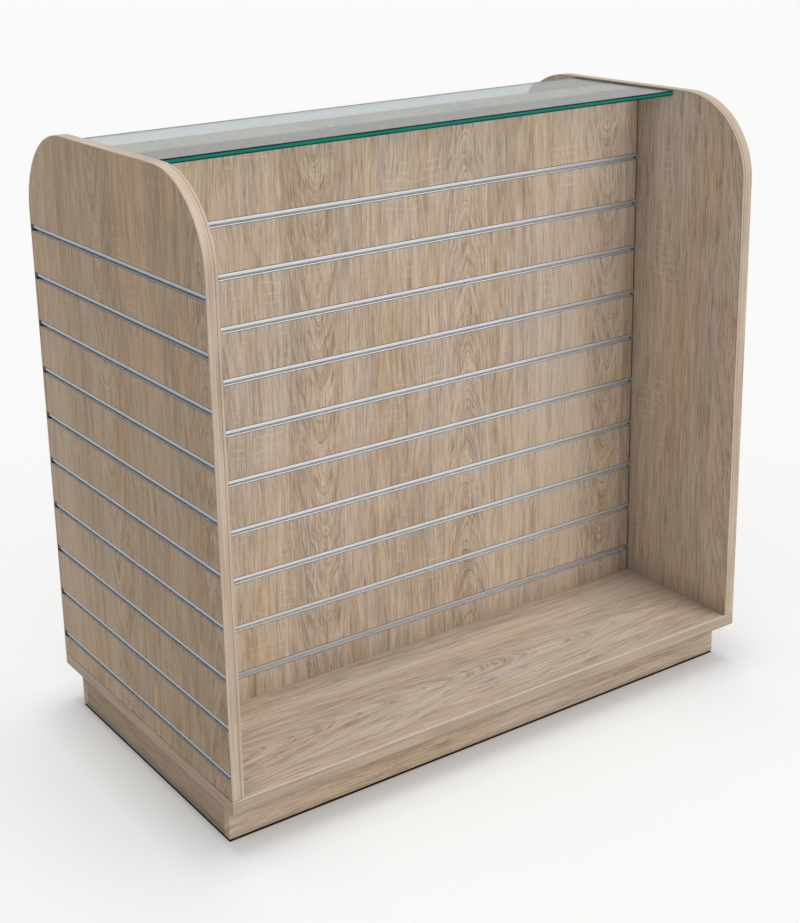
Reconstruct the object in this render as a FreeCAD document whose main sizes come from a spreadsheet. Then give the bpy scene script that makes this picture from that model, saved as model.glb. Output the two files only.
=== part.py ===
import FreeCAD, Part
import os
import re

# Display stand: a slat-walled core between two rounded end panels, on a plinth, with a loose glass top.
# Millimetres, +Z up, X along the length, the front looks along -Y, the floor under the middle is the origin.

os.makedirs("parts", exist_ok=True)
doc = FreeCAD.newDocument("display_stand")

# Driving sizes
SIZES = [
    ("stand_length", 1240, "length over the end panels"),
    ("stand_depth", 700, "depth over the end panels"),
    ("core_depth", 100, "depth over the two slatwalls, which leaves a bay of 300 on each side"),
    ("glass_overhang", 100, "glass beyond the face of a slatwall"),
    ("foot_height", 4, "height of a foot under the plinth"),
    ("foot_radius", 14, "radius of a foot"),
    ("foot_inset", 15, "middle of a foot from the plinth faces"),
    ("nail_radius", 1.5, "radius of a foot's nail"),
    ("nail_length", 18, "length of a foot's nail"),
    ("plinth_height", 78, "height of the plinth boards"),
    ("plinth_inset_front", 44, "plinth set back from the base board's front and back"),
    ("plinth_inset_end", 14, "plinth set in from the base board's ends"),
    ("rail_offset", 200, "plinth cross rails from the middle"),
    ("block_side", 40, "side and height of a corner block"),
    ("board_thick", 18, "thickness of the structural boards"),
    ("base_thick", 25, "thickness of the base board"),
    ("band_thick", 2, "thickness of the edge bands"),
    ("panel_height", 1108, "height of an end panel above the base board"),
    ("panel_radius", 165, "radius of an end panel's top corners"),
    ("lining_thick", 6, "thickness of an end panel's inner lining"),
    ("rebate_height", 1.2, "height of the shadow rebate round the foot of an end panel"),
    ("end_first_groove", 47, "lowest groove of an end panel above the base board"),
    ("end_top_slat", 197, "top groove of an end panel below the panel's top"),
    ("wall_first_groove", 56, "lowest groove of a slatwall above the base board"),
    ("wall_top_slat", 119.5, "top groove of a slatwall below the wall's top"),
    ("wall_end_gap", 2, "shadow gap between a slatwall and an end panel"),
    ("groove_height", 14.3, "height of a groove"),
    ("groove_depth", 11.5, "depth of a groove"),
    ("insert_height", 14, "height of a slot insert"),
    ("insert_depth", 11, "depth of a slot insert"),
    ("insert_wall", 1.5, "wall of a slot insert"),
    ("insert_upper_lip", 6.8, "height of the upper front lip"),
    ("insert_lower_lip", 2.6, "height of the lower front lip"),
    ("insert_face_gap", 0.25, "front lips behind the face of their board"),
    ("wall_insert_gap", 1, "insert stops short of the ends of a slatwall"),
    ("end_insert_gap", 0.3, "gap at the ends of an end panel's insert and of its plug"),
    ("plug_length", 6, "length of the plug that closes a slot at its back end"),
    ("plug_depth", 11, "depth of a plug"),
    ("plug_height", 14, "height of a plug"),
    ("glass_thick", 10, "thickness of the glass top"),
    ("glass_drop", 3, "glass top below the top of the end panels"),
    ("glass_end_gap", 1.5, "gap between the glass and an end panel"),
    ("pad_thick", 1.5, "thickness of a clear pad under the glass"),
    ("pad_radius", 6, "radius of a clear pad"),
    ("pad_offset", 35, "pads from the middle of the core"),
    ("pad_spacing", 340, "spacing of the pads along the core"),
    ("fit_gap", 0.05, "radial clearance round screws and dowels"),
    ("tip_gap", 1, "free space beyond the tip of a screw or dowel"),
    ("panel_screw_radius", 3.5, "radius of a base to panel screw"),
    ("panel_screw_bite", 34, "base to panel screw, length in the panel"),
    ("panel_screw_head", 5, "head radius of a base to panel screw"),
    ("panel_screw_head_high", 4, "head height of a base to panel screw"),
    ("panel_screw_spacing", 170, "spacing of the base to panel screws"),
    ("wood_screw_radius", 2, "radius of the small screws"),
    ("wood_screw_head", 4, "head radius of the small screws"),
    ("wood_screw_head_high", 3, "head height of the small screws"),
    ("wall_screw_bite", 22, "slatwall screw, length in the stud"),
    ("block_screw_bite", 15, "corner block screw, length in the base board"),
    ("stud_screw_bite", 40, "base to stud screw, length in the stud"),
    ("stud_screw_offset", 18, "base to stud screws from the middle of the core"),
    ("dowel_radius", 4, "radius of a dowel"),
    ("dowel_bite", 12, "dowel length in a board"),
    ("dowel_short_bite", 8, "dowel length in the slatted board"),
]
sheet = doc.addObject("Spreadsheet::Sheet", "Sizes")
for row, (alias, value, note) in enumerate(SIZES, 1):
    sheet.set("A%d" % row, note)
    sheet.set("B%d" % row, str(value))
    sheet.setAlias("B%d" % row, alias)
doc.recompute()

# Places that follow from the sizes, written in the sheet's words
PLINTH_BOTTOM = "foot_height"
BASE_BOTTOM = "(foot_height + plinth_height)"
BASE_TOP = "(foot_height + plinth_height + base_thick)"
PANEL_TOP = "(foot_height + plinth_height + base_thick + panel_height)"
GLASS_BOTTOM = "(%s - glass_drop - glass_thick)" % PANEL_TOP
CAP_TOP = "(%s - pad_thick)" % GLASS_BOTTOM
CAP_BOTTOM = "(%s - board_thick)" % CAP_TOP
HALF_LENGTH = "(stand_length / 2)"
HALF_DEPTH = "(stand_depth / 2)"
PANEL_THICK = "(board_thick + lining_thick)"
HALF_INSIDE = "(%s - %s)" % (HALF_LENGTH, PANEL_THICK)
WALL_FACE = "(core_depth / 2)"
STUD_HALF = "(%s - board_thick)" % WALL_FACE
PLINTH_X = "(%s - plinth_inset_end)" % HALF_LENGTH
PLINTH_Y = "(%s - plinth_inset_front)" % HALF_DEPTH
WALL_HIGH = "(%s - %s)" % (CAP_BOTTOM, BASE_TOP)
# Ten grooves each, spread evenly: 100 apart on a slatwall, 96 apart on an end panel
WALL_GROOVES = 10
END_GROOVES = 10
WALL_PITCH = "((%s - wall_first_groove - wall_top_slat) / %d)" % (WALL_HIGH, WALL_GROOVES - 1)
END_PITCH = "((panel_height - end_first_groove - end_top_slat) / %d)" % (END_GROOVES - 1)


def words(text):
    """Put the sheet's name in front of every size in an expression."""
    return re.sub(r"[a-z_]+[a-z]", lambda found: "Sizes." + found.group(0), text)


def bind(item, **links):
    for prop, text in links.items():
        item.setExpression(prop.replace("__", "."), words(text))


def place(item, x, y, z):
    bind(item, Placement__Base__x=x, Placement__Base__y=y, Placement__Base__z=z)


def box(name, x, y, z, along_x, along_y, along_z):
    """Plain board: its lowest corner, then its three sizes."""
    item = doc.addObject("Part::Box", name)
    bind(item, Length=along_x, Width=along_y, Height=along_z)
    place(item, x, y, z)
    return item


# Turns that lay a cylinder along each way
TURNS = {
    "+z": FreeCAD.Rotation(),
    "+x": FreeCAD.Rotation(FreeCAD.Vector(0, 1, 0), 90),
    "-x": FreeCAD.Rotation(FreeCAD.Vector(0, 1, 0), -90),
    "+y": FreeCAD.Rotation(FreeCAD.Vector(1, 0, 0), -90),
    "-y": FreeCAD.Rotation(FreeCAD.Vector(1, 0, 0), 90),
}


def rod(name, way, x, y, z, radius, length):
    """Round rod that starts at a point and runs one way."""
    item = doc.addObject("Part::Cylinder", name)
    item.Placement = FreeCAD.Placement(FreeCAD.Vector(), TURNS[way])
    bind(item, Radius=radius, Height=length)
    place(item, x, y, z)
    return item


def group(name, items):
    item = doc.addObject("Part::Compound", name)
    item.Links = items
    return item


def fuse(name, items):
    item = doc.addObject("Part::MultiFuse", name)
    item.Shapes = items
    item.Refine = True
    return item


def cut(name, base, tool):
    item = doc.addObject("Part::Cut", name)
    item.Base = base
    item.Tool = tool
    return item


def along(way, x, y, z, shift):
    """Move a point along a way by a distance."""
    sign = way[0]
    moved = {"x": x, "y": y, "z": z}
    moved[way[1]] = "(%s %s %s)" % (moved[way[1]], sign, shift)
    return moved["x"], moved["y"], moved["z"]


def fasteners(name, spots, radius, length, head=None, head_high=None):
    """Group of equal screws or dowels, and the group of holes that they need.

    A spot is a way and a point; the point is the middle of the outer face of the head, or of the dowel's end.
    """
    pieces = []
    holes = []
    for number, (way, x, y, z) in enumerate(spots, 1):
        tag = "%s_%d" % (name, number)
        shank = rod(tag + "_shank", way, x, y, z, radius, length)
        hole_radius = "%s + fit_gap" % radius
        hole_length = "%s + tip_gap" % length
        start = (x, y, z)
        if head is None:
            start = along(way, x, y, z, "(0 - tip_gap)")
            hole_length = "%s + 2 * tip_gap" % length
        holes.append(rod(tag + "_hole", way, *start, hole_radius, hole_length))
        if head is None:
            pieces.append(shank)
            continue
        top = rod(tag + "_head", way, x, y, z, head, head_high)
        pieces.append(fuse(tag, [shank, top]))
        holes.append(rod(tag + "_head_hole", way, x, y, z, "%s + fit_gap" % head, head_high))
    return group(name, pieces), group(name + "_holes", holes)


def drilled(name, base, holes):
    tool = holes[0] if len(holes) == 1 else group(name + "_drill", holes)
    return cut(name, base, tool)


def rounded_board(name, x, thick, inset):
    """End panel outline, set in from its edge, as a board that starts at x."""
    half = "(%s - %s)" % (HALF_DEPTH, inset)
    flat = "(%s - panel_radius)" % HALF_DEPTH
    corner_z = "(%s - panel_radius)" % PANEL_TOP
    radius = "(panel_radius - %s)" % inset
    lower_high = "(panel_height - panel_radius)"
    upper_high = "(panel_height - %s)" % inset
    lower = box(name + "_lower", x, "0 - " + half, BASE_TOP, thick, "2 * " + half, lower_high)
    upper = box(name + "_upper", x, "0 - " + flat, BASE_TOP, thick, "2 * " + flat, upper_high)
    front = rod(name + "_front_corner", "+x", x, "0 - " + flat, corner_z, radius, thick)
    back = rod(name + "_back_corner", "+x", x, flat, corner_z, radius, thick)
    return fuse(name, [lower, upper, front, back])


def edge_band(name, x, thick):
    """Strip glued round the edge of an end panel board, its two feet cut short by the rebate."""
    outer = rounded_board(name + "_outer", x, thick, "0")
    inner = rounded_board(name + "_inner", x, thick, "band_thick")
    foot = box(name + "_foot", x, "0 - " + HALF_DEPTH, BASE_TOP, thick, "stand_depth", "rebate_height")
    return cut(name, outer, group(name + "_waste", [inner, foot]))


def groove_middle(first, pitch, number):
    """Height of the middle of a groove, counted from the lowest."""
    return "(%s + %s + %d * %s)" % (BASE_TOP, first, number, pitch)


def channel(name, lengthwise, mouth, start, face, middle, length):
    """Slot insert: a channel along one way, with two front lips, its mouth facing a signed way.

    The face is where the front lips lie, the middle is the height of the channel's middle.
    """
    bottom = "(%s - insert_height / 2)" % middle
    deep = "insert_depth"
    inside_deep = "(insert_depth - 2 * insert_wall)"
    inside_high = "(insert_height - 2 * insert_wall)"
    mouth_high = "(insert_height - insert_upper_lip - insert_lower_lip)"
    if mouth[0] == "-":
        outer_at = face
        inside_at = "(%s + insert_wall)" % face
        mouth_at = "(%s - insert_wall)" % face
    else:
        outer_at = "(%s - insert_depth)" % face
        inside_at = "(%s - insert_depth + insert_wall)" % face
        mouth_at = "(%s - insert_wall)" % face
    mouth_deep = "(2 * insert_wall)"
    parts = []
    layers = (
        ("outer", outer_at, deep, bottom, "insert_height", start, length),
        ("inside", inside_at, inside_deep, "(%s + insert_wall)" % bottom, inside_high, start, length),
        ("mouth", mouth_at, mouth_deep, "(%s + insert_lower_lip)" % bottom, mouth_high, start, length),
    )
    for label, at, thick, low, high, first, run in layers:
        if lengthwise == "x":
            parts.append(box("%s_%s" % (name, label), first, at, low, run, thick, high))
        else:
            parts.append(box("%s_%s" % (name, label), at, first, low, thick, run, high))
    return cut(name, parts[0], fuse(name + "_hollow", parts[1:]))


nodes = []


def keep(item):
    nodes.append(item)
    return item


# Screws and dowels, with the holes they need
panel_middle = "(%s - board_thick / 2)" % HALF_LENGTH
panel_spots = []
for sign in ("0 - ", ""):
    for share in (-3, -1, 1, 3):
        panel_spots.append(("+z", sign + panel_middle, "%d * panel_screw_spacing / 2" % share, BASE_BOTTOM))
panel_screws, panel_screw_holes = fasteners(
    "panel_screws", panel_spots, "panel_screw_radius", "(base_thick + panel_screw_bite)",
    "panel_screw_head", "panel_screw_head_high")

stud_middle = "(%s - board_thick / 2)" % HALF_INSIDE
stud_places = ["0 - " + stud_middle, "0", stud_middle]
core_spots = []
for stud_x in stud_places:
    for row in ("0 - stud_screw_offset", "stud_screw_offset"):
        core_spots.append(("+z", stud_x, row, BASE_BOTTOM))
core_screws, core_screw_holes = fasteners(
    "core_screws", core_spots, "wood_screw_radius", "(base_thick + stud_screw_bite)",
    "wood_screw_head", "wood_screw_head_high")

wall_spots = []
for stud_x in stud_places:
    for number in (1, 4, 8):
        height = groove_middle("wall_first_groove", WALL_PITCH, number)
        wall_spots.append(("+y", stud_x, "0 - (%s - groove_depth)" % WALL_FACE, height))
        wall_spots.append(("-y", stud_x, "(%s - groove_depth)" % WALL_FACE, height))
slatwall_screws, slatwall_screw_holes = fasteners(
    "slatwall_screws", wall_spots, "wood_screw_radius", "(board_thick - groove_depth + wall_screw_bite)",
    "wood_screw_head", "wood_screw_head_high")

block_x = "(%s - board_thick - block_side / 2)" % PLINTH_X
block_y = "(%s - board_thick - block_side / 2)" % PLINTH_Y
block_bottom = "(%s - block_side)" % BASE_BOTTOM
corners = [(sx, sy) for sx in ("0 - ", "") for sy in ("0 - ", "")]
block_spots = [("+z", sx + block_x, sy + block_y, block_bottom) for sx, sy in corners]
plinth_screws, plinth_screw_holes = fasteners(
    "plinth_screws", block_spots, "wood_screw_radius", "(block_side + block_screw_bite)",
    "wood_screw_head", "wood_screw_head_high")

dowel_spots = []
for number in (1, 4, 8):
    height = groove_middle("end_first_groove", END_PITCH, number)
    height = "(%s + %s / 2)" % (height, END_PITCH)
    dowel_spots.append(("-x", "0 - (%s - dowel_bite)" % HALF_INSIDE, "0", height))
    dowel_spots.append(("+x", "(%s - dowel_bite)" % HALF_INSIDE, "0", height))
panel_dowels, panel_dowel_holes = fasteners(
    "panel_dowels", dowel_spots, "dowel_radius", "(dowel_bite + lining_thick + dowel_short_bite)")

cap_spots = [("+z", stud_x, "0", "(%s - dowel_bite)" % CAP_BOTTOM) for stud_x in stud_places]
cap_dowels, cap_dowel_holes = fasteners("cap_dowels", cap_spots, "dowel_radius", "2 * dowel_bite")

for item in (panel_screws, core_screws, slatwall_screws, plinth_screws, panel_dowels, cap_dowels):
    keep(item)

# Plinth with its rails, corner blocks and feet
feet = []
nail_holes = []
for number, (sx, sy) in enumerate(corners, 1):
    foot_x = sx + "(%s - foot_inset)" % PLINTH_X
    foot_y = sy + "(%s - foot_inset)" % PLINTH_Y
    disc = rod("foot_%d_disc" % number, "+z", foot_x, foot_y, "0", "foot_radius", "foot_height")
    nail = rod("foot_%d_nail" % number, "+z", foot_x, foot_y, "0", "nail_radius",
               "(foot_height + nail_length)")
    feet.append(fuse("foot_%d" % number, [disc, nail]))
    nail_holes.append(rod("foot_%d_hole" % number, "+z", foot_x, foot_y, "0", "(nail_radius + fit_gap)",
                          "(foot_height + nail_length + tip_gap)"))
keep(group("feet", feet))
nails = group("nail_holes", nail_holes)
for name, at in (("plinth_front", "0 - " + PLINTH_Y), ("plinth_back", "(%s - board_thick)" % PLINTH_Y)):
    blank = box(name + "_blank", "0 - " + PLINTH_X, at, PLINTH_BOTTOM, "2 * " + PLINTH_X, "board_thick",
                "plinth_height")
    keep(cut(name, blank, nails))
inner_y = "(%s - board_thick)" % PLINTH_Y
for name, at in (
    ("plinth_left", "0 - " + PLINTH_X),
    ("plinth_right", "(%s - board_thick)" % PLINTH_X),
    ("plinth_rail_left", "0 - rail_offset - board_thick / 2"),
    ("plinth_rail_right", "rail_offset - board_thick / 2"),
):
    keep(box(name, at, "0 - " + inner_y, PLINTH_BOTTOM, "board_thick", "2 * " + inner_y, "plinth_height"))
blocks = []
for number, (sx, sy) in enumerate(corners, 1):
    x = "%s - block_side / 2" % (sx + block_x)
    y = "%s - block_side / 2" % (sy + block_y)
    blocks.append(box("block_%d" % number, x, y, block_bottom, "block_side", "block_side", "block_side"))
keep(drilled("corner_blocks", group("corner_blocks_blank", blocks), [plinth_screw_holes]))

# Base board and its edge bands
core_x = "(%s - band_thick)" % HALF_LENGTH
core_y = "(%s - band_thick)" % HALF_DEPTH
base_blank = box("base_blank", "0 - " + core_x, "0 - " + core_y, BASE_BOTTOM,
                 "2 * " + core_x, "2 * " + core_y, "base_thick")
keep(drilled("base_board", base_blank, [panel_screw_holes, core_screw_holes, plinth_screw_holes]))
for name, at in (("base_front_band", "0 - " + HALF_DEPTH), ("base_back_band", core_y)):
    keep(box(name, "0 - " + HALF_LENGTH, at, BASE_BOTTOM, "stand_length", "band_thick", "base_thick"))
for name, at in (("base_left_band", "0 - " + HALF_LENGTH), ("base_right_band", core_x)):
    keep(box(name, at, "0 - " + core_y, BASE_BOTTOM, "band_thick", "2 * " + core_y, "base_thick"))

# End panels: slatted board outside, plain lining inside, bands round both
insert_start = "(0 - %s + end_insert_gap)" % core_y
insert_run = "(2 * %s - plug_length - 3 * end_insert_gap)" % core_y
plug_start = "(%s - end_insert_gap - plug_length)" % core_y
plugs = []
for side in ("left", "right"):
    if side == "left":
        board_x = "0 - " + HALF_LENGTH
        lining_x = "0 - (%s - board_thick)" % HALF_LENGTH
        groove_x = board_x
        rebate_x = board_x
        face = "(0 - %s + insert_face_gap)" % HALF_LENGTH
        plug_x = face
        mouth = "-x"
    else:
        board_x = "(%s - board_thick)" % HALF_LENGTH
        lining_x = HALF_INSIDE
        groove_x = "(%s - groove_depth)" % HALF_LENGTH
        rebate_x = "(%s - band_thick)" % HALF_LENGTH
        face = "(%s - insert_face_gap)" % HALF_LENGTH
        plug_x = "(%s - plug_depth)" % face
        mouth = "+x"
    grooves = []
    inserts = []
    for number in range(END_GROOVES):
        middle = groove_middle("end_first_groove", END_PITCH, number)
        grooves.append(box("%s_groove_%d" % (side, number), groove_x, "0 - " + HALF_DEPTH,
                           "(%s - groove_height / 2)" % middle, "groove_depth", "stand_depth",
                           "groove_height"))
        inserts.append(channel("%s_insert_%02d" % (side, number + 1), "y", mouth, insert_start, face,
                               middle, insert_run))
        plugs.append(box("%s_plug_%02d" % (side, number + 1), plug_x, plug_start,
                         "(%s - plug_height / 2)" % middle, "plug_depth", "plug_length", "plug_height"))
    blank = rounded_board(side + "_panel_blank", board_x, "board_thick", "band_thick")
    rebate = box(side + "_rebate", rebate_x, "0 - " + HALF_DEPTH, BASE_TOP, "band_thick", "stand_depth",
                 "rebate_height")
    tools = [group(side + "_grooves", grooves), rebate, panel_screw_holes, panel_dowel_holes]
    keep(drilled(side + "_panel", blank, tools))
    lining = rounded_board(side + "_lining_blank", lining_x, "lining_thick", "band_thick")
    keep(drilled(side + "_lining", lining, [panel_dowel_holes]))
    keep(edge_band(side + "_edge_band", board_x, "board_thick"))
    keep(edge_band(side + "_lining_band", lining_x, "lining_thick"))
    keep(group(side + "_inserts", inserts))
keep(group("end_plugs", plugs))

# Core: studs, bottom rails and cap
stud_tools = [core_screw_holes, slatwall_screw_holes, panel_dowel_holes, cap_dowel_holes]
for name, stud_x in zip(("stud_left", "stud_middle", "stud_right"), stud_places):
    blank = box(name + "_blank", "%s - board_thick / 2" % stud_x, "0 - " + STUD_HALF, BASE_TOP,
                "board_thick", "2 * " + STUD_HALF, WALL_HIGH)
    keep(drilled(name, blank, stud_tools))
rail_run = "(%s - board_thick - board_thick / 2)" % HALF_INSIDE
for name, at in (
    ("core_rail_left", "0 - (%s - board_thick)" % HALF_INSIDE),
    ("core_rail_right", "board_thick / 2"),
):
    keep(box(name, at, "0 - " + STUD_HALF, BASE_TOP, rail_run, "2 * " + STUD_HALF, "board_thick"))
cap_blank = box("cap_blank", "0 - " + HALF_INSIDE, "0 - " + WALL_FACE, CAP_BOTTOM, "2 * " + HALF_INSIDE,
                "2 * " + WALL_FACE, "board_thick")
keep(drilled("core_cap", cap_blank, [cap_dowel_holes]))

# Slatwalls and their inserts
wall_half = "(%s - wall_end_gap)" % HALF_INSIDE
wall_insert_half = "(%s - wall_insert_gap)" % wall_half
for side in ("front", "back"):
    if side == "front":
        wall_y = "0 - " + WALL_FACE
        groove_y = wall_y
        face = "(0 - %s + insert_face_gap)" % WALL_FACE
        mouth = "-y"
    else:
        wall_y = STUD_HALF
        groove_y = "(%s - groove_depth)" % WALL_FACE
        face = "(%s - insert_face_gap)" % WALL_FACE
        mouth = "+y"
    grooves = []
    for number in range(WALL_GROOVES):
        middle = groove_middle("wall_first_groove", WALL_PITCH, number)
        grooves.append(box("%s_wall_groove_%d" % (side, number), "0 - " + HALF_INSIDE, groove_y,
                           "(%s - groove_height / 2)" % middle, "2 * " + HALF_INSIDE, "groove_depth",
                           "groove_height"))
        keep(channel("%s_insert_%02d" % (side, number + 1), "x", mouth, "0 - " + wall_insert_half, face,
                     middle, "2 * " + wall_insert_half))
    blank = box(side + "_slatwall_blank", "0 - " + wall_half, wall_y, BASE_TOP,
                "2 * " + wall_half, "board_thick", WALL_HIGH)
    keep(drilled(side + "_slatwall", blank, [group(side + "_wall_grooves", grooves), slatwall_screw_holes]))

# Glass top on clear pads
pads = []
for number, share in enumerate((-3, -1, 1, 3)):
    for row, y in enumerate(("0 - pad_offset", "pad_offset")):
        pads.append(rod("pad_%d_%d" % (number, row), "+z", "%d * pad_spacing / 2" % share, y, CAP_TOP,
                        "pad_radius", "pad_thick"))
keep(group("glass_pads", pads))
glass_half = "(%s - glass_end_gap)" % HALF_INSIDE
glass_deep = "(%s + glass_overhang)" % WALL_FACE
keep(box("glass_top", "0 - " + glass_half, "0 - " + glass_deep, GLASS_BOTTOM,
         "2 * " + glass_half, "2 * " + glass_deep, "glass_thick"))

doc.recompute()
for item in doc.Objects:
    for state in item.State:
        if state in ("Invalid", "Error"):
            raise RuntimeError("%s is %s" % (item.Label, state))
for item in nodes:
    if item.Shape.isNull() or not item.Shape.isValid() or not item.Shape.Solids:
        raise RuntimeError("%s has no sound shape" % item.Label)
    item.Shape.exportStep("parts/%s.step" % item.Label)
print(len(nodes), "nodes written")
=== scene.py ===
import math

import bpy
import numpy as np
from mathutils import Matrix, Vector


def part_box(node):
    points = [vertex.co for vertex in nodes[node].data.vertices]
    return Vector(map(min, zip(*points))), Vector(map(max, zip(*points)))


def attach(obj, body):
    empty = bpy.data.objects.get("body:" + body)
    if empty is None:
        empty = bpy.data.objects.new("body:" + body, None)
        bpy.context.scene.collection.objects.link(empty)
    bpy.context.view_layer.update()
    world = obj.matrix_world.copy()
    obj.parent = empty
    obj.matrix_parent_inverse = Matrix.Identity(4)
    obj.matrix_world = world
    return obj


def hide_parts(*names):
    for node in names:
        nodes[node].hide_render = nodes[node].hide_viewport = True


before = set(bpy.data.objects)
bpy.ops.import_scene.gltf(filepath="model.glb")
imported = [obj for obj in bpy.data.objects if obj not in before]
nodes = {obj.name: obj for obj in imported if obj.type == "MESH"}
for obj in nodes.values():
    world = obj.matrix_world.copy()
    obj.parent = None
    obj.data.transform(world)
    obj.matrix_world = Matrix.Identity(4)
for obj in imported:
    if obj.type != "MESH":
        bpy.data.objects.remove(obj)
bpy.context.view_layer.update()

# Ways of the frame: along the stand, across it, and up
X, Y, Z = 0, 1, 2

# Looks: colours as linear values; edge is the end panels' band, nose and side are the base's bands
OAK_DARK = (0.270, 0.196, 0.132, 1.0)
OAK_MID = (0.430, 0.335, 0.250, 1.0)
OAK_LIGHT = (0.560, 0.456, 0.360, 1.0)
WARM_TINT = (1.040, 1.000, 0.930, 1.0)
GREY_TINT = (0.980, 1.000, 1.050, 1.0)
EDGE_DARK = (0.330, 0.250, 0.180, 1.0)
EDGE_LIGHT = (0.590, 0.482, 0.380, 1.0)
NOSE_DARK = (0.270, 0.205, 0.145, 1.0)
NOSE_LIGHT = (0.500, 0.405, 0.310, 1.0)
SIDE_DARK = (0.290, 0.215, 0.150, 1.0)
SIDE_LIGHT = (0.560, 0.450, 0.340, 1.0)
ARRIS_HIGHLIGHT_COLOUR = (0.660, 0.560, 0.460, 1.0)
DARK_LINE_COLOUR = (0.110, 0.085, 0.065, 1.0)
STUD_DARK = (0.030, 0.024, 0.018, 1.0)
STUD_LIGHT = (0.060, 0.048, 0.036, 1.0)
TIMBER_DARK = (0.480, 0.340, 0.190, 1.0)
TIMBER_LIGHT = (0.660, 0.510, 0.330, 1.0)
STEEL_DARK = (0.420, 0.410, 0.380, 1.0)
STEEL_LIGHT = (0.600, 0.590, 0.550, 1.0)
BLACK_DARK = (0.010, 0.010, 0.011, 1.0)
BLACK_LIGHT = (0.024, 0.024, 0.026, 1.0)
PAD_DARK = (0.580, 0.530, 0.460, 1.0)
PAD_LIGHT = (0.640, 0.590, 0.520, 1.0)
GLASS_TINT = (0.660, 0.735, 0.730, 1.0)
GLASS_SHADE = (0.965, 0.980, 0.975, 1.0)
GLASS_EDGE_SHADE = (0.001, 0.014, 0.012, 1.0)
GLASS_EDGE_HIGHLIGHT = (0.003, 0.190, 0.135, 1.0)
FLOOR_COLOUR = (0.680, 0.679, 0.676, 1.0)
FLOOR_PAINTED_SHADE = (0.030, 0.030, 0.030, 1.0)
BACKDROP = (0.980, 0.980, 0.980, 1.0)
WHITE = (1.0, 1.0, 1.0, 1.0)
UNLIT = (0.0, 0.0, 0.0, 1.0)

# Factors on the red, green and blue of the oak colours, one for each group of boards
# The panels' outer faces are darker and warmer, partly painted shade; the linings are paler, painted light
# in the bay
PANEL_SHADED_TONE = (0.97, 0.92, 0.83)
LINING_LIT_TONE = (1.11, 1.14, 1.18)
BASE_TONE = (1.02, 1.07, 1.14)
CAP_TONE = (1.38, 1.36, 1.34)
# The plinth's long boards are a lit copy and its ends a shaded copy: painted light and painted shade
PLINTH_LIT_TONE = (1.14, 1.12, 1.10)
PLINTH_END_SHADED_TONE = (0.80, 0.77, 0.74)

# Veneer: width of a strip, sway of its line, length factor of the base's figure, roundness of the V's
STRIP_WIDE = 0.122
STRIP_SWAY = 0.010
BASE_STRIP_WIDE = 0.24
BASE_STRIP_SWAY = 0.022
BASE_DRAWN_OUT = 1.9
CAP_STRIP_WIDE = 0.085
HEART_ROUND = 0.006

# Laminate and its bands: gloss, soft arrises, fine lines, seams, dark lines at a rim, and a painted
# highlight along the top of a band
LAMINATE_GLOSS = 0.14
LAMINATE_EASE = 0.0008
BAND_EASE = 0.0012
BAND_FINENESS = 70.0
SEAM_HALF = 0.0008
SEAM_DEPTH = 0.45
WALL_RIM = 0.003
CAP_RIM = 0.010
RIM_DEPTH = 0.85
ARRIS_HIGHLIGHT_HEIGHT = 0.0025
ARRIS_HIGHLIGHT_DEPTH = 0.8

# Painted shade in crevices: how dark it gets, and from how far away
BOARD_CREVICE_SHADE = (0.60, 0.070)
PLINTH_CREVICE_SHADE = (0.30, 0.024)
LIP_CREVICE_SHADE = (0.20, 0.150)

# Drawn metal: fineness of its lines across it and along it
DRAWN_ACROSS = 700.0
DRAWN_ALONG = 12.0

# Spans that a noise is read over: nearly all of it, or its middle
NOISE_ALL = (0.25, 0.75)
NOISE_MIDDLE = (0.3, 0.7)

# Slot inserts: steps from the lowest slot to the highest, and half an insert's height
SLOT_STEPS = 9
INSERT_HALF = 0.0070
# Heights above an insert's middle at which its looks change, each with half the height of the change
LIP_MIDDLE = 0.0030
LIP_BLEND = 0.0006
MOUTH_MIDDLE = -0.0021
MOUTH_BLEND = 0.0004
# Depth of the lip, and the factor on the colour of its lower half, a painted shade
LIP_THICK = 0.0016
LIP_PAINTED_SHADE = 0.84
# Colours of an insert's lip, inside and foot, and the grey of its drawn lines; the pale inside is painted
# light in the channel, and the end panels' set is a darker, shaded copy of the wall's
WALL_INSERT = ((0.80, 0.83, 0.86, 1.0), (0.97, 0.98, 0.99, 1.0), (0.96, 0.97, 0.98, 1.0))
END_INSERT_SHADED = ((0.50, 0.53, 0.56, 1.0), (0.73, 0.76, 0.80, 1.0), (0.46, 0.49, 0.52, 1.0))
DRAWN_GREY = (0.90, 0.90, 0.90, 1.0)
# Dark line above and below an insert, partly the joint and partly painted shadow: its colour, how strong
# and how soft it is, and its heights
JOINT_AND_SHADOW_COLOUR = (0.060, 0.060, 0.062, 1.0)
JOINT_AND_SHADOW_DEPTH = 0.85
JOINT_BLEND = 0.0003
WALL_JOINT_AND_SHADOW = 0.0011
END_JOINT_AND_SHADOW = 0.0015
# End of an end panel's insert beside its plug: its black, how long it is and how soft its limit is
INSERT_TIP_BLACK = (0.012, 0.012, 0.013, 1.0)
BLACK_LONG = 0.008
BLACK_BLEND = 0.0002


# Shader helpers
def feed(tree, socket, value):
    """Links an output socket to an input socket, or sets the input to a plain value."""
    if isinstance(value, bpy.types.NodeSocket):
        tree.links.new(value, socket)
    else:
        socket.default_value = value


def add(tree, kind, **inputs):
    """New shader node with its inputs fed by name."""
    node = tree.nodes.new(kind)
    for name, value in inputs.items():
        feed(tree, node.inputs[name], value)
    return node


def placed(tree, group, **inputs):
    """A node group placed in a material, with its inputs fed by name."""
    node = tree.nodes.new("ShaderNodeGroup")
    node.node_tree = group
    for name, value in inputs.items():
        feed(tree, node.inputs[name], value)
    return node


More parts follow.
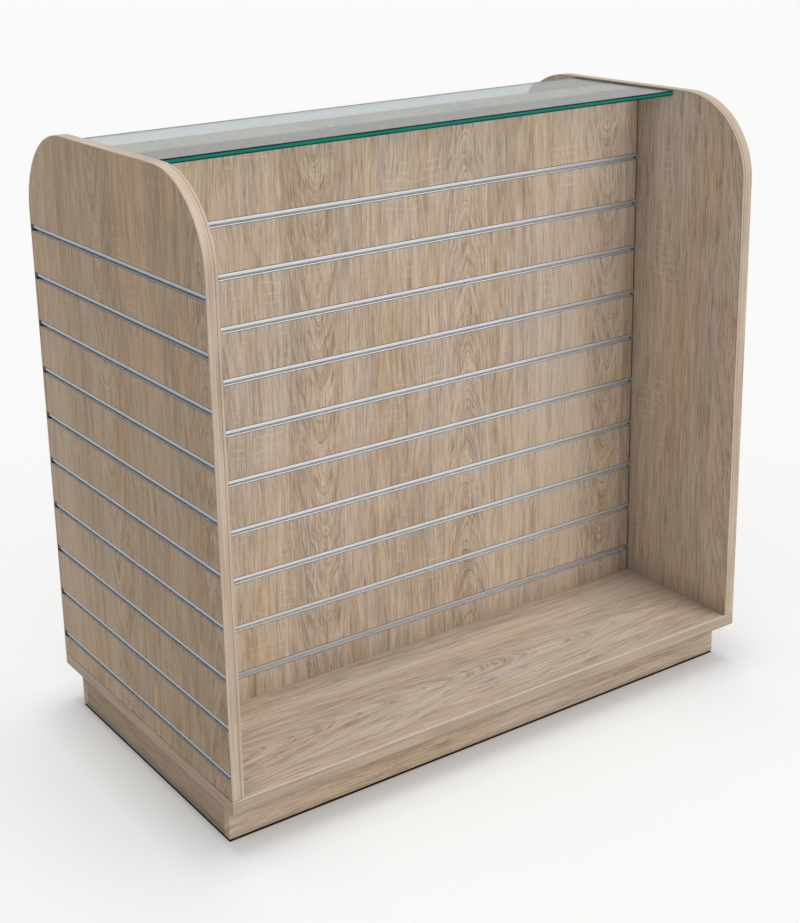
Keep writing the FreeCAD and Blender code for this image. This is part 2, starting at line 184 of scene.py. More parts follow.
def maths(tree, operation, first, second=None, clamp=False):
    """Sum, product or another operation on one or two values."""
    node = tree.nodes.new("ShaderNodeMath")
    node.operation = operation
    node.use_clamp = clamp
    for socket, value in zip(node.inputs, (first, second)):
        if value is not None:
            feed(tree, socket, value)
    return node.outputs[0]


def combined(tree, x, y, z):
    """Vector of three values."""
    node = tree.nodes.new("ShaderNodeCombineXYZ")
    for socket, value in zip(node.inputs, (x, y, z)):
        feed(tree, socket, value)
    return node.outputs[0]


def stretched(tree, vector, scale):
    """Vector with a factor on each of its ways."""
    return add(tree, "ShaderNodeMapping", Vector=vector, Scale=scale).outputs["Vector"]


def noise(tree, vector, scale, detail=2.0, roughness=0.5):
    """Soft noise over a vector, mostly from 0.25 to 0.75."""
    node = add(tree, "ShaderNodeTexNoise", Vector=vector, Scale=scale, Detail=detail, Roughness=roughness)
    return node.outputs["Fac"]


def span(tree, value, low, high, to_low=0.0, to_high=1.0):
    """Straight map of a value from one span to another, held at its ends."""
    node = add(tree, "ShaderNodeMapRange", Value=value)
    node.clamp = True
    for name, bound in (("From Min", low), ("From Max", high), ("To Min", to_low), ("To Max", to_high)):
        feed(tree, node.inputs[name], bound)
    return node.outputs["Result"]


def mixed(tree, factor, first, second, kind="MIX"):
    """Mix of two colours; the node's data types share the names of its sockets, so they go by number."""
    node = tree.nodes.new("ShaderNodeMix")
    node.data_type = "RGBA"
    node.blend_type = kind
    for number, value in ((0, factor), (6, first), (7, second)):
        feed(tree, node.inputs[number], value)
    return node.outputs[2]


def either(tree, factor, first, second):
    """Mix of two shaders."""
    node = tree.nodes.new("ShaderNodeMixShader")
    for socket, value in zip(node.inputs, (factor, first, second)):
        tree.links.new(value, socket)
    return node.outputs[0]


def new_group(name, inputs, outputs):
    """Empty node group with its sockets, and the nodes of its two ends."""
    tree = bpy.data.node_groups.new(name, "ShaderNodeTree")
    for label, kind in inputs:
        tree.interface.new_socket(label, in_out="INPUT", socket_type=kind)
    for label, kind in outputs:
        tree.interface.new_socket(label, in_out="OUTPUT", socket_type=kind)
    return tree, tree.nodes.new("NodeGroupInput"), tree.nodes.new("NodeGroupOutput")


def new_material(name):
    """New material, its node tree, its shader, and the object coordinates in that tree."""
    material = bpy.data.materials.new(name)
    material.use_nodes = True
    tree = material.node_tree
    place = add(tree, "ShaderNodeTexCoord").outputs["Object"]
    return material, tree, tree.nodes["Principled BSDF"], place


# Node groups: effects that several materials share
def make_oak_figure():
    """Oak veneer figure with the grain along Z.

    The veneer lies in strips. Every third one is figured, and its rings are nested V's: the place along
    the grain plus a curve of the distance from the heart line, ever steeper towards the sides, is the
    same all along a ring. The other strips have straight grain. Pale saw marks cross the grain, most of
    them on one strip in three, and fibres lie over all of it.
    """
    tree, given, out = new_group(
        "oak_figure",
        [("Vector", "NodeSocketVector"), ("Strip", "NodeSocketFloat"), ("Sway", "NodeSocketFloat"),
         ("Dark", "NodeSocketColor"), ("Middle", "NodeSocketColor"), ("Light", "NodeSocketColor")],
        [("Color", "NodeSocketColor"), ("Height", "NodeSocketFloat"), ("Roughness", "NodeSocketFloat")])
    split = add(tree, "ShaderNodeSeparateXYZ", Vector=given.outputs["Vector"])
    across = maths(tree, "ADD", split.outputs[0], split.outputs[1])
    along = split.outputs[2]

    def field(per_across, layer, per_along, detail=2.0, roughness=0.5, start=across):
        """Noise with its own fineness across and along the grain."""
        place = combined(tree, maths(tree, "MULTIPLY", start, per_across), layer,
                         maths(tree, "MULTIPLY", along, per_along))
        return noise(tree, place, 1.0, detail, roughness)

    bend = span(tree, field(per_across=5.0, layer=0.0, per_along=2.2), *NOISE_ALL, -1.0, 1.0)
    swayed = maths(tree, "ADD", across, maths(tree, "MULTIPLY", bend, given.outputs["Sway"]))

    # Strips of veneer, each from its own log, with its own tone, way up and heart line
    strips = maths(tree, "DIVIDE", swayed, given.outputs["Strip"])
    number = maths(tree, "FLOOR", strips)
    inside = maths(tree, "SUBTRACT", maths(tree, "SUBTRACT", strips, number), 0.5)
    own = tree.nodes.new("ShaderNodeTexWhiteNoise")
    own.noise_dimensions = "1D"
    tree.links.new(number, own.inputs["W"])
    drawn = add(tree, "ShaderNodeSeparateColor", Color=own.outputs["Color"])
    way_up = span(tree, drawn.outputs[1], 0.20, 0.21, 1.0, -1.0)
    heart = span(tree, drawn.outputs[2], 0.0, 1.0, -0.16, 0.16)

    # The turn of a strip among three is 0.5, 1.5 or 2.5: the first is figured, the last has most saw marks
    turn = maths(tree, "FLOORED_MODULO", maths(tree, "ADD", number, 0.5), 3.0)
    from_middle = maths(tree, "ABSOLUTE", inside)
    figured = maths(tree, "MULTIPLY", span(tree, turn, 0.9, 1.1, 1.0, 0.0),
                    span(tree, from_middle, 0.34, 0.50, 1.0, 0.0))
    plain = maths(tree, "SUBTRACT", 1.0, figured)
    scored = span(tree, turn, 1.9, 2.1, 0.35, 1.0)

    # Rings of a figured strip
    off = maths(tree, "MULTIPLY", maths(tree, "SUBTRACT", inside, heart), given.outputs["Strip"])
    off = maths(tree, "SQRT", maths(tree, "ADD", maths(tree, "POWER", off, 2.0), HEART_ROUND ** 2))
    steepness = maths(tree, "ADD", maths(tree, "MULTIPLY", off, 26.0), 1.9)
    curve = maths(tree, "MULTIPLY", off, steepness)
    wobble = span(tree, field(per_across=30.0, layer=1.0, per_along=8.0), *NOISE_ALL, -0.020, 0.020)
    ring = maths(tree, "ADD", maths(tree, "MULTIPLY", along, way_up), maths(tree, "ADD", curve, wobble))

    def on_rings(per_ring, per_strip, drift, detail, roughness):
        """Noise that follows the rings, another one on every strip, and slowly changes with the drift."""
        place = combined(tree, maths(tree, "MULTIPLY", ring, per_ring),
                         maths(tree, "MULTIPLY", number, per_strip), drift)
        return noise(tree, place, 1.0, detail, roughness)

    ring_drift = maths(tree, "MULTIPLY", across, 6.0)
    rings = on_rings(per_ring=26.0, per_strip=5.0, drift=ring_drift, detail=3.0, roughness=0.62)
    stroke_drift = maths(tree, "MULTIPLY", along, 24.0)
    strokes = on_rings(per_ring=140.0, per_strip=3.0, drift=stroke_drift, detail=2.0, roughness=0.6)
    pores = maths(tree, "MULTIPLY", span(tree, strokes, 0.47, 0.66), figured)

    # Straight grain, fibres and dashes on paths that wander a little, and a board's slow change of tone
    grain = field(70.0, number, 3.5, detail=3.0, roughness=0.62, start=swayed)
    wander = span(tree, field(per_across=40.0, layer=5.0, per_along=12.0), *NOISE_ALL, -0.0030, 0.0030)
    path = maths(tree, "ADD", swayed, wander)
    fibres = field(300.0, layer=3.0, per_along=12.0, detail=4.0, roughness=0.75, start=path)
    dashes = field(260.0, layer=6.0, per_along=20.0, detail=1.0, start=path)
    dashes = span(tree, dashes, 0.54, 0.68)
    board = field(per_across=9.0, layer=0.0, per_along=1.1)
    warmth = field(per_across=16.0, layer=4.0, per_along=2.0)

    # Saw marks: broken pale rungs across the grain, evenly spaced and a little bent, in patches
    bent = maths(tree, "MULTIPLY", field(per_across=9.0, layer=2.0, per_along=11.0), 2.4)
    rungs = maths(tree, "ADD", maths(tree, "MULTIPLY", along, 58.0), bent)
    from_rung = maths(tree, "ABSOLUTE", maths(tree, "SUBTRACT", maths(tree, "FRACT", rungs), 0.5))
    sawn = maths(tree, "MULTIPLY", span(tree, from_rung, 0.04, 0.11, 1.0, 0.0), scored)
    patches = field(per_across=17.0, layer=7.0, per_along=7.0)
    sawn = maths(tree, "MULTIPLY", sawn, span(tree, patches, 0.52, 0.62))
    breaks = field(per_across=55.0, layer=9.0, per_along=90.0)
    sawn = maths(tree, "MULTIPLY", sawn, span(tree, breaks, 0.36, 0.54))

    # Tone, from 0 for the dark colour to 1 for the light one
    ring_tone = span(tree, rings, *NOISE_ALL, -0.36, 0.30)
    grain_tone = span(tree, grain, *NOISE_ALL, -0.34, 0.34)
    level = maths(tree, "ADD", span(tree, board, *NOISE_ALL, -0.22, 0.22), 0.67)
    level = maths(tree, "ADD", level, span(tree, own.outputs["Value"], 0.0, 1.0, -0.15, 0.15))
    level = maths(tree, "ADD", level, maths(tree, "MULTIPLY", figured, ring_tone))
    level = maths(tree, "ADD", level, maths(tree, "MULTIPLY", plain, grain_tone))
    level = maths(tree, "ADD", level, span(tree, fibres, *NOISE_ALL, -0.70, 0.70))
    level = maths(tree, "SUBTRACT", level, maths(tree, "MULTIPLY", pores, 0.50))
    level = maths(tree, "SUBTRACT", level, maths(tree, "MULTIPLY", dashes, 0.16))
    level = maths(tree, "ADD", level, maths(tree, "MULTIPLY", sawn, 0.38), clamp=True)

    colour = mixed(tree, span(tree, level, 0.0, 0.5), given.outputs["Dark"], given.outputs["Middle"])
    colour = mixed(tree, span(tree, level, 0.5, 1.0), colour, given.outputs["Light"])
    tint = mixed(tree, span(tree, warmth, 0.35, 0.65), WARM_TINT, GREY_TINT)
    colour = mixed(tree, 1.0, colour, tint, "MULTIPLY")
    height = maths(tree, "SUBTRACT", fibres, maths(tree, "MULTIPLY", pores, 0.6))
    tree.links.new(colour, out.inputs["Color"])
    tree.links.new(height, out.inputs["Height"])
    tree.links.new(span(tree, fibres, *NOISE_MIDDLE, 0.46, 0.60), out.inputs["Roughness"])
    return tree


def make_painted_crevice_shade():
    """Painted shade in crevices: a colour that gets deeper where another surface stands within reach, as
    shade would.
    """
    tree, given, out = new_group(
        "crevice_shade",
        [("Color", "NodeSocketColor"), ("Dark", "NodeSocketFloat"), ("Reach", "NodeSocketFloat")],
        [("Color", "NodeSocketColor")])
    near = add(tree, "ShaderNodeAmbientOcclusion", Distance=given.outputs["Reach"])
    near.samples = 8
    shade = span(tree, near.outputs["AO"], 0.0, 1.0, given.outputs["Dark"], 1.0)
    tree.links.new(mixed(tree, 1.0, given.outputs["Color"], shade, "MULTIPLY"), out.inputs["Color"])
    return tree


def make_drawn_lines():
    """Fine lines along a drawn metal; the scale is small along the metal and large across it."""
    tree, given, out = new_group(
        "drawn_lines",
        [("Vector", "NodeSocketVector"), ("Scale", "NodeSocketVector")],
        [("Lines", "NodeSocketFloat")])
    place = stretched(tree, given.outputs["Vector"], given.outputs["Scale"])
    tree.links.new(noise(tree, place, 1.0, roughness=0.6), out.inputs["Lines"])
    return tree


OAK_FIGURE = make_oak_figure()
PAINTED_CREVICE_SHADE = make_painted_crevice_shade()
DRAWN_LINES = make_drawn_lines()
# Which world ways lie across the grain, and which along it
GRAIN_WAYS = {"upright": (X, Y, Z), "lengthwise": (Y, Z, X), "depthwise": (X, Z, Y)}


def with_painted_crevice_shade(tree, colour, dark, reach):
    """A colour with the painted shade in crevices over it."""
    return placed(tree, PAINTED_CREVICE_SHADE, Color=colour, Dark=dark, Reach=reach).outputs["Color"]


def drawn_lines(tree, vector, along):
    """Mask of the fine lines that run along one way of a drawn metal."""
    scale = [DRAWN_ACROSS, DRAWN_ACROSS, DRAWN_ACROSS]
    scale[along] = DRAWN_ALONG
    return placed(tree, DRAWN_LINES, Vector=vector, Scale=scale).outputs["Lines"]


def relieved(tree, shader, height, ease, strength, distance):
    """Gives a shader a fine relief, and arrises that are softly rounded in the shading."""
    soft = add(tree, "ShaderNodeBevel", Radius=ease)
    soft.samples = 4
    relief = add(tree, "ShaderNodeBump", Strength=strength, Distance=distance, Height=height,
                 Normal=soft.outputs["Normal"])
    tree.links.new(relief.outputs["Normal"], shader.inputs["Normal"])


# Materials
def wood_material(name, way, colours, shift, strip=STRIP_WIDE, sway=STRIP_SWAY, rim=None,
                  crevice_shade=BOARD_CREVICE_SHADE, drawn_out=1.0):
    """Laminate with an oak figure along one way.

    A rim is a dark line along two edges, given by the way it faces, its distance from the middle
    and its width. Drawn out is how many times longer the figure lies along the grain.
    """
    material, tree, shader, place = new_material(name)
    split = add(tree, "ShaderNodeSeparateXYZ", Vector=place)
    turned = [maths(tree, "ADD", split.outputs[source], moved)
              for source, moved in zip(GRAIN_WAYS[way], shift)]
    turned[2] = maths(tree, "DIVIDE", turned[2], drawn_out)
    dark, middle, light = colours
    figure = placed(tree, OAK_FIGURE, Vector=combined(tree, *turned), Strip=strip, Sway=sway,
                    Dark=dark, Middle=middle, Light=light)
    colour = figure.outputs["Color"]
    if rim is not None:
        facing, far, wide = rim
        outward = maths(tree, "ABSOLUTE", split.outputs[facing])
        line = span(tree, outward, far - wide, far - wide / 2, 0.0, RIM_DEPTH)
        colour = mixed(tree, line, colour, DARK_LINE_COLOUR)
    # Painted shade in crevices over the wood's colour
    tree.links.new(with_painted_crevice_shade(tree, colour, *crevice_shade), shader.inputs["Base Color"])
    tree.links.new(figure.outputs["Roughness"], shader.inputs["Roughness"])
    shader.inputs["Specular IOR Level"].default_value = LAMINATE_GLOSS
    relieved(tree, shader, figure.outputs["Height"], LAMINATE_EASE, strength=0.2, distance=0.0006)
    return material


def strip_material(name, across, dark, light, seam=None, highlight_top=None):
    """Edge band: fine lines that run along the strip, so they vary only across it.

    A seam is a dark line at a distance from the middle; the highlight top is the height of a pale line, a
    painted highlight, along the top of the strip.
    """
    material, tree, shader, place = new_material(name)
    split = add(tree, "ShaderNodeSeparateXYZ", Vector=place)
    scale = [1.0, 1.0, 1.0]
    scale[across] = BAND_FINENESS
    lines = noise(tree, stretched(tree, place, scale), 5.0, detail=4.0, roughness=0.65)
    broad = noise(tree, place, 9.0)
    level = maths(tree, "ADD", span(tree, lines, *NOISE_MIDDLE, 0.0, 0.85),
                  span(tree, broad, *NOISE_MIDDLE, 0.0, 0.25))
    colour = mixed(tree, level, dark, light)
    # Painted highlight: a pale line along the top edge of the band
    if highlight_top is not None:
        near = span(tree, split.outputs[across], highlight_top - ARRIS_HIGHLIGHT_HEIGHT, highlight_top - ARRIS_HIGHLIGHT_HEIGHT / 2,
                    0.0, ARRIS_HIGHLIGHT_DEPTH)
        colour = mixed(tree, near, colour, ARRIS_HIGHLIGHT_COLOUR)
    if seam is not None:
        far = maths(tree, "SUBTRACT", maths(tree, "ABSOLUTE", split.outputs[across]), seam)
        line = span(tree, maths(tree, "ABSOLUTE", far), SEAM_HALF * 0.6, SEAM_HALF, SEAM_DEPTH, 0.0)
        colour = mixed(tree, line, colour, DARK_LINE_COLOUR)
    # Painted shade in crevices over the band's colour
    tree.links.new(with_painted_crevice_shade(tree, colour, *BOARD_CREVICE_SHADE), shader.inputs["Base Color"])
    tree.links.new(span(tree, lines, *NOISE_MIDDLE, 0.38, 0.5), shader.inputs["Roughness"])
    shader.inputs["Specular IOR Level"].default_value = LAMINATE_GLOSS
    relieved(tree, shader, lines, BAND_EASE, strength=0.15, distance=0.0004)
    return material


def metal_material(name, dark, light, along, rough):
    """Satin metal with fine drawn lines along one way."""
    material, tree, shader, place = new_material(name)
    shader.inputs["Metallic"].default_value = 1.0
    drawn = drawn_lines(tree, place, along)
    tree.links.new(mixed(tree, span(tree, drawn, *NOISE_MIDDLE), dark, light), shader.inputs["Base Color"])
    tree.links.new(span(tree, drawn, *NOISE_MIDDLE, rough - 0.06, rough + 0.06), shader.inputs["Roughness"])
    return material


def insert_material(name, along, slots, colours, joint_and_shadow, black_from=None):
    """Satin aluminium slot insert with fine drawn lines along one way.

    Its colour goes by the height above the middle of its groove, and by the depth behind the face: an
    upper lip with painted shade on its lower half, the inside of the channel, paler as painted light, the
    lower lip, and a dark line above and below, partly the gap and partly painted shadow. Past a given place
    along it, it can be black.
    """
    material, tree, shader, place = new_material(name)
    first, pitch, face = slots
    lip, painted_light_inside, foot = colours
    split = add(tree, "ShaderNodeSeparateXYZ", Vector=place)
    turns = maths(tree, "DIVIDE", maths(tree, "SUBTRACT", split.outputs[Z], first), pitch)
    turns = maths(tree, "FRACT", maths(tree, "ADD", turns, 0.5))
    height = maths(tree, "MULTIPLY", maths(tree, "SUBTRACT", turns, 0.5), pitch)
    outward = maths(tree, "ABSOLUTE", split.outputs[Y if along == X else X])
    drawn = drawn_lines(tree, place, along)

    # Painted shade on the lower half of the upper lip
    painted_shade_lip = tuple(value * LIP_PAINTED_SHADE for value in lip[:3]) + (1.0,)
    upper = span(tree, height, LIP_MIDDLE - LIP_BLEND, LIP_MIDDLE + LIP_BLEND)
    colour = mixed(tree, upper, painted_shade_lip, lip)
    above_mouth = span(tree, height, MOUTH_MIDDLE - MOUTH_BLEND, MOUTH_MIDDLE + MOUTH_BLEND)
    colour = mixed(tree, above_mouth, foot, colour)
    from_middle = maths(tree, "ABSOLUTE", height)
    joint_and_shadow_from = INSERT_HALF - joint_and_shadow
    # Dark line at the joint above and below, partly painted shadow
    edge = span(tree, from_middle, joint_and_shadow_from - JOINT_BLEND, joint_and_shadow_from, 0.0, JOINT_AND_SHADOW_DEPTH)
    # Painted shade in crevices, with a long reach, darkens an insert near the panels
    colour = with_painted_crevice_shade(tree, mixed(tree, edge, colour, JOINT_AND_SHADOW_COLOUR), *LIP_CREVICE_SHADE)
    # The inside of the channel is paler and not metallic: painted light in the recess
    lip_back = face - LIP_THICK
    within = span(tree, outward, lip_back - JOINT_BLEND, lip_back, 1.0, 0.0)
    colour = mixed(tree, within, colour, painted_light_inside)
    worn = mixed(tree, span(tree, drawn, *NOISE_MIDDLE), DRAWN_GREY, WHITE)
    colour = mixed(tree, 1.0, colour, worn, "MULTIPLY")
    dull = within
    if black_from is not None:
        tip = span(tree, split.outputs[along], black_from, black_from + BLACK_BLEND)
        colour = mixed(tree, tip, colour, INSERT_TIP_BLACK)
        dull = maths(tree, "MAXIMUM", within, tip)
    tree.links.new(colour, shader.inputs["Base Color"])
    tree.links.new(span(tree, dull, 0.0, 1.0, 0.55, 0.0), shader.inputs["Metallic"])
    tree.links.new(span(tree, drawn, *NOISE_MIDDLE, 0.34, 0.46), shader.inputs["Roughness"])
    return material


def plastic_material(name, dark, light, rough):
    """Moulded plastic with a very fine grain."""
    material, tree, shader, place = new_material(name)
    grain = noise(tree, place, 900.0)
    tree.links.new(mixed(tree, grain, dark, light), shader.inputs["Base Color"])
    tree.links.new(span(tree, grain, *NOISE_MIDDLE, rough - 0.05, rough + 0.05), shader.inputs["Roughness"])
    return material


def glass_material(name, tint, bend):
    """Clear float glass with a faint cloudy tint and a little smear; the lamps shine through it."""
    material, tree, shader, place = new_material(name)
    shader.inputs["Transmission Weight"].default_value = 1.0
    shader.inputs["IOR"].default_value = bend
    cloud = noise(tree, place, 5.0)
    paler = tuple(min(1.0, value + 0.02) for value in tint[:3]) + (1.0,)
    tree.links.new(mixed(tree, cloud, tint, paler), shader.inputs["Base Color"])
    tree.links.new(span(tree, cloud, *NOISE_MIDDLE, 0.0, 0.02), shader.inputs["Roughness"])
    path = tree.nodes.new("ShaderNodeLightPath")
    clear = add(tree, "ShaderNodeBsdfTransparent", Color=GLASS_SHADE)
    surface = either(tree, path.outputs["Is Shadow Ray"], shader.outputs[0], clear.outputs[0])
    tree.links.new(surface, tree.nodes["Material Output"].inputs["Surface"])
    return material


def glass_edge_material(name, low, high):
    """Polished green glass edge: painted shade at both arrises, a painted highlight along the middle."""
    material, tree, shader, place = new_material(name)
    shader.inputs["Specular IOR Level"].default_value = 0.12
    split = add(tree, "ShaderNodeSeparateXYZ", Vector=place)
    up = span(tree, split.outputs[Z], low, high)
    from_middle = maths(tree, "ABSOLUTE", maths(tree, "SUBTRACT", up, 0.5))
    wander = noise(tree, stretched(tree, place, (6.0, 6.0, 200.0)), 1.0)
    level = maths(tree, "ADD", span(tree, from_middle, 0.16, 0.34, 1.0, 0.0),
                  span(tree, wander, *NOISE_MIDDLE, -0.2, 0.2))
    colour = mixed(tree, level, GLASS_EDGE_SHADE, GLASS_EDGE_HIGHLIGHT)
    tree.links.new(colour, shader.inputs["Base Color"])
    tree.links.new(span(tree, wander, *NOISE_MIDDLE, 0.06, 0.14), shader.inputs["Roughness"])
    return material


def toned(tone):
    """Oak colours with a factor on red, green and blue."""
    return [tuple(value * part for value, part in zip(colour, tone)) + (1.0,) for colour in oak_colours]


def slots_of(lowest, highest, across):
    """Height of the lowest slot's middle, the pitch, and the distance of the lips' face from the middle."""
    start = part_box(lowest)[0][2] + INSERT_HALF
    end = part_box(highest)[1][2] - INSERT_HALF
    return start, (end - start) / SLOT_STEPS, max(abs(corner[across]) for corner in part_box(lowest))


oak_colours = (OAK_DARK, OAK_MID, OAK_LIGHT)
timber_colours = (TIMBER_DARK, TIMBER_DARK, TIMBER_LIGHT)
stud_colours = (STUD_DARK, STUD_DARK, STUD_LIGHT)
# The joint between an end panel's slatted board and its lining, as a distance from the middle
panel_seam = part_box("right_lining")[1][0]
base_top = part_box("base_board")[1][2]
wall_rim = (X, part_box("front_slatwall")[1][0], WALL_RIM)
cap_rim = (Y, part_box("core_cap")[1][1], CAP_RIM)
wall_slots = slots_of("front_insert_01", "front_insert_10", Y)
end_slots = slots_of("left_inserts", "left_inserts", X)
black_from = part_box("left_inserts")[1][1] - BLACK_LONG
# The shift of a wood's figure sets which stretch of the veneer a board is cut from
MATERIALS = {
    "wall_front": wood_material("oak_wall_front", "upright", oak_colours, (-0.023, 0.0, 0.0), rim=wall_rim),
    "wall_back": wood_material("oak_wall_back", "upright", oak_colours, (3.1, 0.4, 0.7), rim=wall_rim),
    "panel": wood_material("oak_panel", "upright", toned(PANEL_SHADED_TONE), (5.3, 1.2, 0.2)),
    "lining": wood_material("oak_lining", "upright", toned(LINING_LIT_TONE), (8.2, 2.6, 1.1)),
    "base": wood_material("oak_base", "lengthwise", toned(BASE_TONE), (0.253, 0.0, 4.0),
                          BASE_STRIP_WIDE, BASE_STRIP_SWAY, drawn_out=BASE_DRAWN_OUT),
    "plinth_long": wood_material("oak_plinth_long", "lengthwise", toned(PLINTH_LIT_TONE), (6.7, 0.3, 1.5),
                                 crevice_shade=PLINTH_CREVICE_SHADE),
    "plinth_end": wood_material("oak_plinth_end", "depthwise", toned(PLINTH_END_SHADED_TONE), (1.9, 3.0, 0.6),
                                crevice_shade=PLINTH_CREVICE_SHADE),
    "cap": wood_material("oak_cap", "depthwise", toned(CAP_TONE), (4.4, 1.0, 2.0), CAP_STRIP_WIDE,
                         rim=cap_rim),
    "timber_up": wood_material("timber_upright", "upright", timber_colours, (1.0, 5.0, 0.0)),
    "timber_long": wood_material("timber_lengthwise", "lengthwise", timber_colours, (2.0, 6.0, 0.0)),
    "timber_deep": wood_material("timber_depthwise", "depthwise", timber_colours, (3.0, 7.0, 0.0)),
    "panel_band": strip_material("band_panel", X, EDGE_DARK, EDGE_LIGHT, seam=panel_seam),
    "base_band": strip_material("band_base", Z, NOSE_DARK, NOSE_LIGHT, highlight_top=base_top),
    "base_side_band": strip_material("band_base_side", Z, SIDE_DARK, SIDE_LIGHT),
    "stud": wood_material("dark_stud", "upright", stud_colours, (1.5, 4.0, 0.0)),
    "insert_long": insert_material("aluminium_long", X, wall_slots, WALL_INSERT, WALL_JOINT_AND_SHADOW),
    "insert_deep": insert_material("aluminium_deep", Y, end_slots, END_INSERT_SHADED, END_JOINT_AND_SHADOW, black_from),
    "steel": metal_material("zinc_steel", STEEL_DARK, STEEL_LIGHT, along=Z, rough=0.35),
    "black": plastic_material("black_plastic", BLACK_DARK, BLACK_LIGHT, rough=0.55),
    "pad": plastic_material("milky_pad", PAD_DARK, PAD_LIGHT, rough=0.35),
}
# Nodes that go by their whole name; the others go by how their names start or end
NAMED_LOOKS = {
    "front_slatwall": "wall_front", "back_slatwall": "wall_back",
    "left_panel": "panel", "right_panel": "panel",
    "left_lining": "lining", "right_lining": "lining",
    "base_board": "base", "core_cap": "cap",
    "plinth_front": "plinth_long", "plinth_back": "plinth_long",
    "plinth_left": "plinth_end", "plinth_right": "plinth_end",
    "base_left_band": "base_side_band", "base_right_band": "base_side_band",
    "left_inserts": "insert_deep", "right_inserts": "insert_deep",
    "corner_blocks": "timber_up", "cap_dowels": "timber_up", "panel_dowels": "timber_long",
    "feet": "black", "end_plugs": "black", "glass_pads": "pad",
}


def material_for(name):
    """Which material a node of the part wears; the glass has a piece of its own further down."""
    if name in NAMED_LOOKS:
        return NAMED_LOOKS[name]
    if name.endswith("_screws"):
        return "steel"
    if name.endswith(("_edge_band", "_lining_band")):
        return "panel_band"
    if name.endswith("_band"):
        return "base_band"
    if name.startswith(("front_insert", "back_insert")):
        return "insert_long"
    if name.startswith("core_rail"):
        return "timber_long"
    if name.startswith("plinth_rail"):
        return "timber_deep"
    if name.startswith("stud"):
        return "stud"
    return None


for name, item in nodes.items():
    choice = material_for(name)
    if choice is None:
        continue
    for slot in item.material_slots:
        slot.material = MATERIALS[choice]


def eased_slab(name, low, high, ease):
    """Flat slab with a small chamfer on every edge.

    A rectangle with cut corners, eight points round, is carried up a profile of four steps: drawn in by
    the ease at the bottom, full size up to the ease below the top, and drawn in again there. A flat face
    closes each end.
    """
    middle = (low + high)[:2] / 2
    half = (high - low)[:2] / 2
    side = np.array([(1, -1), (1, 1), (1, 1), (-1, 1), (-1, 1), (-1, -1), (-1, -1), (1, -1)])
    cut = np.array([(0, 1), (0, 1), (1, 0), (1, 0)] * 2) * ease
    drawn_in = np.array([ease, 0.0, 0.0, ease])
    heights = np.array([low[2], low[2] + ease, high[2] - ease, high[2]])
    around = len(side)
    steps = len(heights)
    outline = middle + side * (half - cut - drawn_in[:, None, None])
    levels = np.broadcast_to(heights[:, None, None], (steps, around, 1))
    points = np.concatenate([outline, levels], axis=2).reshape(-1, 3)
    ring = np.arange(around)
    beside = (ring + 1) % around
    start = around * np.arange(steps - 1)[:, None]
    above = start + around
    strips = np.stack([start + ring, start + beside, above + beside, above + ring], axis=2).reshape(-1, 4)
    ends = [ring[::-1].tolist(), (around * (steps - 1) + ring).tolist()]
    mesh = bpy.data.meshes.new(name)
    mesh.from_pydata(points.tolist(), [], strips.tolist() + ends)
    mesh.update()
    piece = bpy.data.objects.new(name, mesh)
    bpy.context.scene.collection.objects.link(piece)
    return piece


# Glass top: green edges, and clear faces, which are the slab's last two
GLASS_EASE = 0.0008
GLASS_BEND = 1.5
glass_low, glass_high = (np.array(corner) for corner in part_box("glass_top"))
glass_heights = (float(glass_low[2]), float(glass_high[2]))
glass = eased_slab("glass_sheet", glass_low, glass_high, GLASS_EASE)
glass.data.materials.append(glass_material("clear_glass", GLASS_TINT, GLASS_BEND))
glass.data.materials.append(glass_edge_material("green_glass_edge", *glass_heights))
edge_faces = np.ones(len(glass.data.polygons), dtype=np.int32)
edge_faces[-2:] = 0
glass.data.polygons.foreach_set("material_index", edge_faces)
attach(glass, "glass")
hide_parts("glass_top")

# Floor: painted shade below the plinth, a painted shadow close to it, with a glow that is stronger to the
# eye than as light
FLOOR_HALF = 40.0
FLOOR_CLOUD = 0.006
FLOOR_GLOW = (0.305, 0.305, 0.305, 1.0)
FLOOR_FILL = (0.060, 0.060, 0.060, 1.0)
CONTACT_REACH = 0.120
CONTACT_DEPTH = 0.50
CONTACT_LINE = 0.002
floor_corners = [(x * FLOOR_HALF, y * FLOOR_HALF, 0.0) for x, y in ((-1, -1), (1, -1), (1, 1), (-1, 1))]
floor_mesh = bpy.data.meshes.new("floor")
floor_mesh.from_pydata(floor_corners, [], [(0, 1, 2, 3)])
floor = bpy.data.objects.new("floor", floor_mesh)
bpy.context.scene.collection.objects.link(floor)
floor_material, floor_tree, floor_shader, floor_place = new_material("pale_floor")
floor_split = add(floor_tree, "ShaderNodeSeparateXYZ", Vector=floor_place)
foot_half = (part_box("plinth_right")[1][0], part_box("plinth_back")[1][1])


def near_plinth(reach):
    """Mask on the floor: 1 below the plinth, falling to 0 at the reach from it."""
    sides = []
    for way, half in enumerate(foot_half):
        outward = maths(floor_tree, "ABSOLUTE", floor_split.outputs[way])
        sides.append(span(floor_tree, outward, half, half + reach, 1.0, 0.0))
    return maths(floor_tree, "MULTIPLY", *sides)


